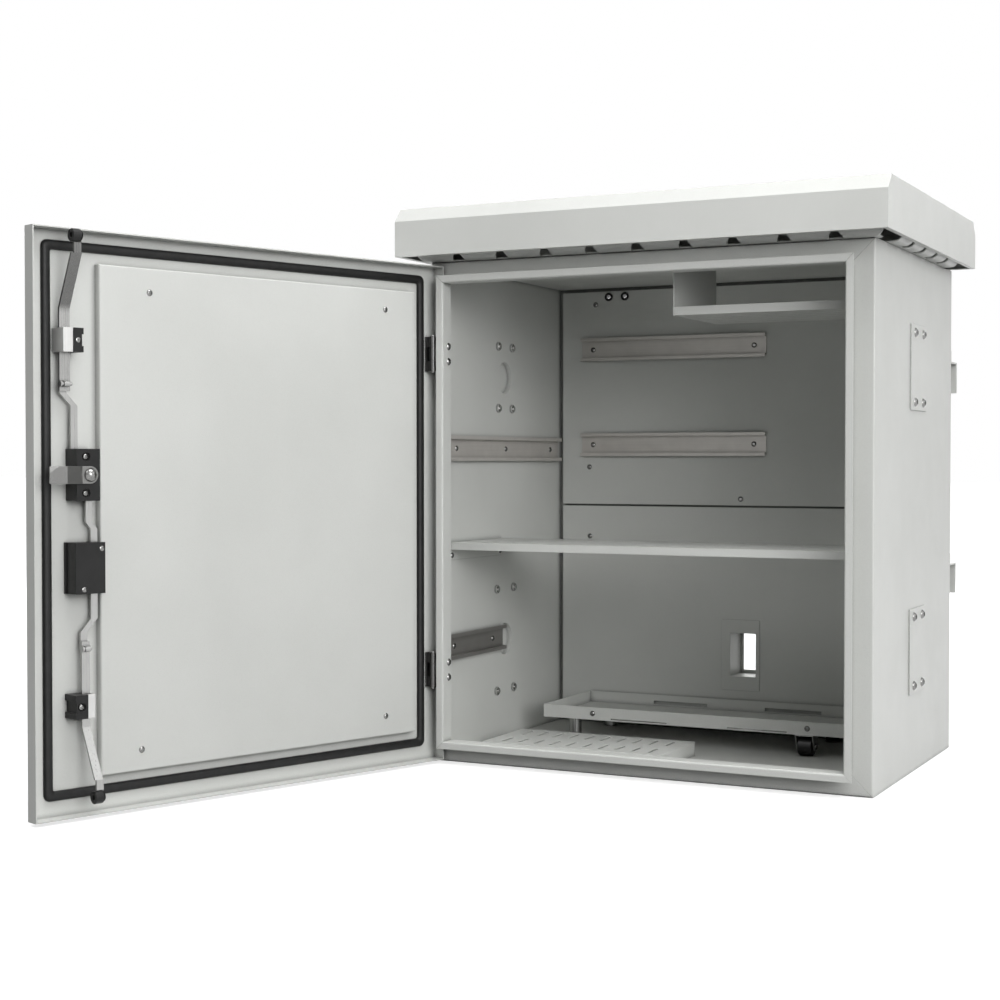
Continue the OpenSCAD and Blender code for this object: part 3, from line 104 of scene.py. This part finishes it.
def bump(tree, shader, height, strength, distance, before=None):
    """Bump from a height, on top of an earlier bump."""
    node = tree.nodes.new("ShaderNodeBump")
    node.inputs["Strength"].default_value = strength
    node.inputs["Distance"].default_value = distance
    tree.links.new(height, node.inputs["Height"])
    if before:
        tree.links.new(before, node.inputs["Normal"])
    tree.links.new(node.outputs["Normal"], shader.inputs["Normal"])
    return node.outputs["Normal"]


def grey(value):
    return (value, value, value)


def painted_crevice_shade(tree, colour, reach, depth):
    """Painted shade: darken a colour where ambient occlusion finds the surface folding in on itself."""
    shade = tree.nodes.new("ShaderNodeAmbientOcclusion")
    shade.samples = CREVICE_SAMPLES
    shade.inputs["Distance"].default_value = reach
    return multiply(tree, colour, ramp(tree, shade.outputs["AO"], grey(depth), grey(1.0), *CREVICE_SPAN))


def set_colour(tree, shader, colour):
    tree.links.new(colour, shader.inputs["Base Color"])


def set_roughness(tree, shader, factor, low, high):
    tree.links.new(map_range(tree, factor, MIDDLE_OF_NOISE, (low, high)), shader.inputs["Roughness"])


# Materials

def powder_coat(name, low, high):
    """Satin powder coat: fine orange peel, faint cloudiness, fine specks and painted shade in the folds."""
    mat, tree, shader, coords = new_material(name)
    cloud = ramp(tree, noise(tree, coords, scale=5, detail=4), low, high)
    speck = ramp(tree, noise(tree, coords, scale=1400, detail=2), grey(0.93), grey(1.0), 0.3, 0.5)
    # The folds get painted shade from ambient occlusion
    set_colour(tree, shader, painted_crevice_shade(tree, multiply(tree, cloud, speck), reach=0.010, depth=0.15))
    set_roughness(tree, shader, noise(tree, coords, scale=28, detail=5), 0.32, 0.42)
    shader.inputs["Specular IOR Level"].default_value = 0.2
    peel = noise(tree, coords, scale=620, detail=1.5)
    grain = noise(tree, coords, scale=2600, detail=1)
    peeled = bump(tree, shader, peel, strength=0.10, distance=0.0004)
    bump(tree, shader, grain, strength=0.05, distance=0.0001, before=peeled)
    return mat


def plated_steel(name, low, high, rough, stretch, metal=1.0, reach=0.004):
    """Plated or plain steel: fine rolling marks along one direction, dull patches, painted shade in the corners."""
    mat, tree, shader, coords = new_material(name)
    shader.inputs["Metallic"].default_value = metal
    streak = noise(tree, coords, scale=1, detail=3, stretch=stretch)
    patch = ramp(tree, noise(tree, coords, scale=45, detail=3), grey(0.93), grey(1.0), 0.3, 0.6)
    colour = multiply(tree, ramp(tree, streak, low, high, *MIDDLE_OF_NOISE), patch)
    # Painted shade in the corners, from ambient occlusion
    set_colour(tree, shader, painted_crevice_shade(tree, colour, reach, depth=0.45))
    set_roughness(tree, shader, streak, rough - 0.04, rough + 0.06)
    bump(tree, shader, streak, strength=0.03, distance=0.0002)
    return mat


def paint_shade_along(mat, distances, tone, axis="Z"):
    """Painted shade: fade a metal to a darker tone between two distances from the middle along one axis."""
    tree = mat.node_tree
    shader = tree.nodes["Principled BSDF"]
    coords = next(n for n in tree.nodes if n.type == "TEX_COORD")
    split = tree.nodes.new("ShaderNodeSeparateXYZ")
    tree.links.new(coords.outputs["Object"], split.inputs["Vector"])
    away = tree.nodes.new("ShaderNodeMath")
    away.operation = "ABSOLUTE"
    tree.links.new(split.outputs[axis], away.inputs[0])
    bare = shader.inputs["Base Color"].links[0].from_socket
    fade = map_range(tree, away.outputs[0], distances)
    set_colour(tree, shader, multiply(tree, bare, ramp(tree, fade, grey(1.0), grey(tone), 0.0, 1.0)))


def moulded_plastic(name, low, high, rough, grain):
    """Moulded plastic with a fine spark-eroded grain."""
    mat, tree, shader, coords = new_material(name)
    set_colour(tree, shader, ramp(tree, noise(tree, coords, scale=40, detail=4), low, high))
    set_roughness(tree, shader, noise(tree, coords, scale=160, detail=3), rough - 0.06, rough + 0.06)
    shader.inputs["Specular IOR Level"].default_value = 0.28
    bump(tree, shader, noise(tree, coords, scale=grain, detail=2), strength=0.2, distance=0.0002)
    return mat


def foam_rubber(name, low, high):
    """Foamed-in-place gasket: soft cells under a skin with a slight gloss and shallow waves."""
    mat, tree, shader, coords = new_material(name)
    cells = tree.nodes.new("ShaderNodeTexVoronoi")
    cells.inputs["Scale"].default_value = 900
    tree.links.new(coords.outputs["Object"], cells.inputs["Vector"])
    set_colour(tree, shader, ramp(tree, noise(tree, coords, scale=90, detail=4), low, high))
    set_roughness(tree, shader, noise(tree, coords, scale=240, detail=3), 0.42, 0.56)
    shader.inputs["Specular IOR Level"].default_value = 0.3
    wave = noise(tree, coords, scale=70, detail=2)
    soft = bump(tree, shader, cells.outputs["Distance"], strength=0.15, distance=0.0003)
    bump(tree, shader, wave, strength=0.15, distance=0.0008, before=soft)
    return mat


# Rolling marks: few lumps per metre along the sheet, many across it
ROLLED_X = (8, 1500, 1500)
ROLLED_Y = (1500, 8, 1500)
ROLLED_Z = (900, 900, 12)
LEAF_Z = (900, 900, 20)
TURNED = (900, 900, 900)
FINE = (2500, 2500, 2500)

WARM_STEEL = ((0.50, 0.48, 0.455), (0.56, 0.54, 0.51))
SHADED_STEEL = ((0.22, 0.213, 0.203), (0.26, 0.252, 0.24))
ROD_ZINC = ((0.36, 0.36, 0.355), (0.40, 0.40, 0.39))
PALE_ZINC = ((0.56, 0.56, 0.55), (0.63, 0.63, 0.62))
DARK_ZINC = ((0.20, 0.20, 0.195), (0.23, 0.23, 0.225))
# Darker copy of the rod zinc, as painted shade for the upper lock rod
SHADED_ZINC = ((0.33, 0.33, 0.325), (0.36, 0.36, 0.35))
SCREW_STEEL = ((0.17, 0.17, 0.165), (0.27, 0.27, 0.265))
BOLT_STEEL = ((0.50, 0.50, 0.49), (0.58, 0.58, 0.57))
HINGE_STEEL = ((0.09, 0.09, 0.09), (0.13, 0.13, 0.125))
KEY_STEEL = ((0.50, 0.50, 0.49), (0.60, 0.60, 0.59))
BLACK_TONES = (grey(0.007), grey(0.012))
RUBBER_TONES = (grey(0.005), grey(0.009))

# Reach of the painted shade in the rails' corners
RAIL_SHADE_REACH = 0.009
PAINT = powder_coat("light_grey_powder_coat", (0.603, 0.612, 0.590), (0.643, 0.652, 0.630))
RAIL_X = plated_steel("rail_steel_rolled_along_x", *WARM_STEEL, 0.38, ROLLED_X, 0.25, RAIL_SHADE_REACH)
RAIL_Y = plated_steel("rail_steel_rolled_along_y", *WARM_STEEL, 0.38, ROLLED_Y, 0.25, RAIL_SHADE_REACH)
# The short rail's darker steel is painted shade
SHORT_RAIL = plated_steel("shaded_rail_steel", *SHADED_STEEL, 0.34, ROLLED_Y, 0.5, RAIL_SHADE_REACH)
ZINC = plated_steel("bright_zinc_plate", *ROD_ZINC, 0.30, ROLLED_Z)
CLIP_ZINC = plated_steel("pale_zinc_plate", *PALE_ZINC, 0.46, ROLLED_Z, 0.5)
CAM_ZINC = plated_steel("cam_zinc_plate", *DARK_ZINC, 0.30, FINE)
# Same zinc as the drive rods; only its tip is darkened with painted shade
LOWER_ZINC = plated_steel("zinc_plate_shaded_tip", *ROD_ZINC, 0.30, ROLLED_Z)
# The upper lock rod's darker zinc is painted shade
UPPER_ZINC = plated_steel("shaded_zinc_plate", *SHADED_ZINC, 0.28, ROLLED_Z)
SCREW = plated_steel("turned_screw_steel", *SCREW_STEEL, 0.17, TURNED)
HINGE = plated_steel("dark_hinge_steel", *HINGE_STEEL, 0.36, LEAF_Z)
BLACK = moulded_plastic("black_moulded_plastic", *BLACK_TONES, 0.36, grain=1700)
WHEEL = moulded_plastic("black_wheel_plastic", *BLACK_TONES, 0.34, grain=900)
GASKET = foam_rubber("black_foam_gasket", *RUBBER_TONES)
BOLT = plated_steel("zinc_bolt_steel", *BOLT_STEEL, 0.22, TURNED)
KEY = plated_steel("bright_key_metal", *KEY_STEEL, 0.20, TURNED)

# Painted shade: the upper rod's slanted end and both rod tips are darkened with painted shade, and the bolts get a
# darker painted shade outside the walls
UPPER_BEND = (0.566, 0.576)
UPPER_TIP = (0.641, 0.6435)
LOWER_TIP = (0.0365, 0.034)
SIDE_WALL = (0.2985, 0.3)
paint_shade_along(UPPER_ZINC, UPPER_BEND, 0.42)
paint_shade_along(UPPER_ZINC, UPPER_TIP, 0.08)
paint_shade_along(LOWER_ZINC, LOWER_TIP, 0.03)
paint_shade_along(BOLT, SIDE_WALL, 0.4, "X")

DRESSED = [
    (RAIL_X, ["rear_upper_rail", "rear_lower_rail"]),
    (RAIL_Y, ["side_long_rail"]),
    (SHORT_RAIL, ["side_short_rail"]),
    (BOLT, ["cover_plate_bolts"]),
    (ZINC, ["tray_posts", "caster_forks", "hinge_pins", "upper_drive_rod", "lower_drive_rod"]),
    (CLIP_ZINC, ["rod_guide_clips"]),
    (CAM_ZINC, ["lock_cam"]),
    (LOWER_ZINC, ["lower_lock_rod"]),
    (UPPER_ZINC, ["upper_lock_rod"]),
    (SCREW, ["wall_screws", "shelf_screws", "caster_axles", "hinge_bolts", "door_panel_screws", "lock_screws",
             "cam_bolt", "handle_hub"]),
    (HINGE, ["hinge_body_leaves", "hinge_door_leaves"]),
    (BLACK, ["cable_bushings", "lock_case", "handle_cover_box", "rod_guide_blocks", "handle_base",
             "handle_lever", "upper_roller", "lower_roller"]),
    (WHEEL, ["front_caster_wheel", "rear_caster_wheel"]),
    (GASKET, ["door_gasket"]),
    (KEY, ["key_plug"]),
]
not_painted = {name for _, names in DRESSED for name in names}
DRESSED.append((PAINT, [name for name in nodes if name not in not_painted]))

# Edge rounding, in metres; nodes that aren't named have the edge of a cut sheet
SHEET_EDGE = 0.0005
EDGE_WIDTHS = {
    0.0001: ["lock_screws"],
    0.0002: ["wall_screws", "shelf_screws", "hinge_bolts", "door_panel_screws", "cover_plate_bolts"],
    0.0003: ["hinge_body_leaves", "hinge_door_leaves", "rear_upper_rail", "rear_lower_rail", "side_long_rail",
             "side_short_rail", "caster_forks"],
    0.0006: ["cable_bushings"],
    0.0008: ["rod_guide_blocks", "upper_roller", "lower_roller"],
    0.0009: ["lock_case"],
    0.0015: ["handle_base"],
    0.0018: ["front_caster_wheel", "rear_caster_wheel"],
    0.0022: ["handle_lever"],
    0.0024: ["handle_cover_box"],
}
edges = {name: width for width, names in EDGE_WIDTHS.items() for name in names}
WELD_WITHIN = 0.00001
FLAT_WITHIN = math.radians(0.5)
ROUND_OVER = math.radians(28)


def round_edges(obj, width):
    """Close the mesh's seams, clear flat triangles, round the edges and keep the flats flat."""
    weld = obj.modifiers.new("weld", "WELD")
    weld.merge_threshold = WELD_WITHIN
    flat = obj.modifiers.new("flat", "DECIMATE")
    flat.decimate_type = "DISSOLVE"
    flat.angle_limit = FLAT_WITHIN
    bevel = obj.modifiers.new("edge", "BEVEL")
    bevel.width = width
    bevel.segments = 3
    bevel.limit_method = "ANGLE"
    bevel.angle_limit = ROUND_OVER
    normals = obj.modifiers.new("normals", "WEIGHTED_NORMAL")
    normals.keep_sharp = True
    normals.weight = 50


for mat, names in DRESSED:
    for name in names:
        obj = nodes[name]
        obj.data.materials.clear()
        obj.data.materials.append(mat)
        round_edges(obj, edges.get(name, SHEET_EDGE))

# Gasket: a rounded bead in place of the square CAD strip

DOOR_OPEN = math.radians(109.5)
ACROSS = Vector((math.cos(DOOR_OPEN), -math.sin(DOOR_OPEN), 0))
INWARD = Vector((math.sin(DOOR_OPEN), math.cos(DOOR_OPEN), 0))
UP = Vector((0, 0, 1))
BEAD_WIDTH = 0.011
BEAD_OUTER_RADIUS = 0.008
BEAD_INNER_RADIUS = 0.003
CORNER_STEPS = 8
CROWN_STEPS = 14
CROWN_POWER = 0.7


def door_span(node):
    """Least and greatest place of a node along the door's width, depth and height."""
    points = [node.matrix_world @ v.co for v in node.data.vertices]
    places = [[p.dot(axis) for p in points] for axis in (ACROSS, INWARD, UP)]
    return [(min(along), max(along)) for along in places]


def rounded_outline(low, high, radius):
    """Points round a rectangle with rounded corners, with the same count in each corner."""
    corners = ((high[0], high[1], -1, -1), (low[0], high[1], 1, -1),
               (low[0], low[1], 1, 1), (high[0], low[1], -1, 1))
    points = []
    for turn, (x, z, in_x, in_z) in enumerate(corners):
        for step in range(CORNER_STEPS + 1):
            angle = math.radians(90 * (turn + step / CORNER_STEPS))
            points.append((x + radius * (in_x + math.cos(angle)), z + radius * (in_z + math.sin(angle))))
    return points


def crown():
    """Section of the bead: share of the way across it, and share of its height."""
    points = []
    for step in range(CROWN_STEPS + 1):
        angle = math.pi * step / CROWN_STEPS
        rise = math.sin(angle) ** CROWN_POWER if 0 < step < CROWN_STEPS else 0.0
        points.append((0.5 - 0.5 * math.cos(angle), rise))
    return points


def gasket_bead(node):
    """A crowned bead all round the door, in the place of the gasket's node."""
    (s0, s1), (t0, t1), (z0, z1) = door_span(node)
    outer = rounded_outline((s0, z0), (s1, z1), BEAD_OUTER_RADIUS)
    inner = rounded_outline((s0 + BEAD_WIDTH, z0 + BEAD_WIDTH), (s1 - BEAD_WIDTH, z1 - BEAD_WIDTH),
                            BEAD_INNER_RADIUS)
    profile = crown()
    verts = []
    for (so, zo), (si, zi) in zip(outer, inner):
        for part, rise in profile:
            along = ACROSS * (si + (so - si) * part) + UP * (zi + (zo - zi) * part)
            verts.append(along + INWARD * (t0 + (t1 - t0) * rise))
    rows, columns = len(outer), len(profile)
    faces = []
    for row in range(rows):
        here, after = row * columns, (row + 1) % rows * columns
        for column in range(columns):
            side = (column + 1) % columns
            faces.append((here + column, here + side, after + side, after + column))
    mesh = bpy.data.meshes.new("gasket_bead")
    mesh.from_pydata(verts, [], faces)
    mesh.polygons.foreach_set("use_smooth", [True] * len(faces))
    mesh.materials.append(GASKET)
    bead = bpy.data.objects.new("gasket_bead", mesh)
    scene.collection.objects.link(bead)
    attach(bead, "door")
    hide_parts(node.name)


gasket_bead(nodes["door_gasket"])

# Stage: a pale floor and a world that is brighter above and behind; seen directly or in a reflection both are white

FLOOR_SIZE = 60
FLOOR_DROP = 0.0005
FLOOR_BOUNCE = grey(0.18)
FLOOR_SEEN = grey(0.5)
FLOOR_GLOW_REACH = (1.0, 3.0)
FLOOR_GLOW = (0.66, 1.0)
SKY_LOW = grey(0.25)
SKY_HIGH = grey(0.50)
SKY_HEIGHTS = (0.0, 0.8)
SKY_FACING = (0.1, 0.9, 0.4)
SKY_TURN = (-0.1, 0.8)
SKY_SHARE = (0.04, 1.0)


def seen_by_eye(tree):
    """1 for rays of the camera, of reflections and through clear pieces, else 0."""
    path = tree.nodes.new("ShaderNodeLightPath")
    total = path.outputs["Is Camera Ray"]
    for name in ("Is Glossy Ray", "Is Transmission Ray"):
        node = tree.nodes.new("ShaderNodeMath")
        node.operation = "MAXIMUM"
        tree.links.new(total, node.inputs[0])
        tree.links.new(path.outputs[name], node.inputs[1])
        total = node.outputs[0]
    return total


bpy.ops.mesh.primitive_plane_add(size=FLOOR_SIZE, location=(0, 0, -FLOOR_DROP))
floor = bpy.context.object
floor.name = "studio_floor"
floor_mat, tree, shader, coords = new_material("studio_floor_white")
shader.inputs["Base Color"].default_value = (*FLOOR_BOUNCE, 1)
shader.inputs["Roughness"].default_value = 0.9
shader.inputs["Specular IOR Level"].default_value = 0.0
length = tree.nodes.new("ShaderNodeVectorMath")
length.operation = "LENGTH"
tree.links.new(coords.outputs["Object"], length.inputs[0])
glow = tree.nodes.new("ShaderNodeEmission")
tree.links.new(map_range(tree, length.outputs["Value"], FLOOR_GLOW_REACH, FLOOR_GLOW), glow.inputs["Strength"])
matt = tree.nodes.new("ShaderNodeBsdfDiffuse")
matt.inputs["Color"].default_value = (*FLOOR_SEEN, 1)
both = tree.nodes.new("ShaderNodeAddShader")
tree.links.new(glow.outputs[0], both.inputs[0])
tree.links.new(matt.outputs[0], both.inputs[1])
pick = tree.nodes.new("ShaderNodeMixShader")
tree.links.new(seen_by_eye(tree), pick.inputs[0])
tree.links.new(shader.outputs[0], pick.inputs[1])
tree.links.new(both.outputs[0], pick.inputs[2])
tree.links.new(pick.outputs[0], tree.nodes["Material Output"].inputs["Surface"])
floor.data.materials.append(floor_mat)

world = bpy.data.worlds.new("studio")
scene.world = world
world.use_nodes = True
tree = world.node_tree
background = tree.nodes["Background"]
coords = tree.nodes.new("ShaderNodeTexCoord")
split = tree.nodes.new("ShaderNodeSeparateXYZ")
tree.links.new(coords.outputs["Generated"], split.inputs["Vector"])
sky = ramp(tree, map_range(tree, split.outputs["Z"], SKY_HEIGHTS), SKY_LOW, SKY_HIGH, 0.0, 1.0)
facing = tree.nodes.new("ShaderNodeVectorMath")
facing.operation = "DOT_PRODUCT"
facing.inputs[1].default_value = SKY_FACING
tree.links.new(coords.outputs["Generated"], facing.inputs[0])
sky = multiply(tree, sky, map_range(tree, facing.outputs["Value"], SKY_TURN, SKY_SHARE))
plain = tree.nodes.new("ShaderNodeMix")
plain.data_type = "RGBA"
plain.inputs["B"].default_value = (1, 1, 1, 1)
tree.links.new(seen_by_eye(tree), plain.inputs["Factor"])
tree.links.new(sky, plain.inputs["A"])
tree.links.new(plain.outputs["Result"], background.inputs["Color"])

# Softboxes: place and target in metres, width and height in metres, watts
SOFTBOXES = {
    "overhead_box": ((0.6, -0.8, 3.1), (0, -0.2, 0.5), (2.2, 1.6), 70),
    "right_front_box": ((2.5, -2.7, 1.9), (0, 0, 0.4), (2.6, 2.2), 56),
    "low_right_box": ((2.7, -2.2, 0.9), (0, 0, 0.4), (1.8, 1.4), 38),
    "right_box": ((3.3, 0.1, 2.0), (0, 0, 0.5), (1.8, 1.6), 14),
    "left_front_box": ((-1.5, -2.4, 2.6), (0, 0, 0.4), (2.2, 1.6), 20),
    "rear_box": ((-0.4, 3.0, 1.9), (0, 0.2, 0.4), (2.0, 1.8), 56),
    "left_box": ((-3.0, 0.9, 1.8), (-0.3, 0, 0.4), (1.8, 1.8), 56),
}
for name, (place, target, (width, height), watts) in SOFTBOXES.items():
    data = bpy.data.lights.new(name, "AREA")
    data.shape = "RECTANGLE"
    data.size, data.size_y = width, height
    data.energy = watts
    lamp = bpy.data.objects.new(name, data)
    scene.collection.objects.link(lamp)
    lamp.location = place
    lamp.rotation_euler = (Vector(target) - Vector(place)).to_track_quat("-Z", "Y").to_euler()

# Camera of the photograph, as solved from the edges of the body, roof and door

CAMERA_PLACE = (0.829, -2.2522, 0.4019)
CAMERA_DOWN = 1.28
CAMERA_TURN = 26.65
LENS_MM = 62.64
SENSOR_MM = 36

cam_data = bpy.data.cameras.new("photo_camera")
cam_data.sensor_width = SENSOR_MM
cam_data.lens = LENS_MM
camera = bpy.data.objects.new("photo_camera", cam_data)
camera.location = CAMERA_PLACE
camera.rotation_euler = (math.radians(90 - CAMERA_DOWN), 0, math.radians(CAMERA_TURN))
scene.collection.objects.link(camera)
scene.camera = camera

scene.view_settings.view_transform = "Standard"
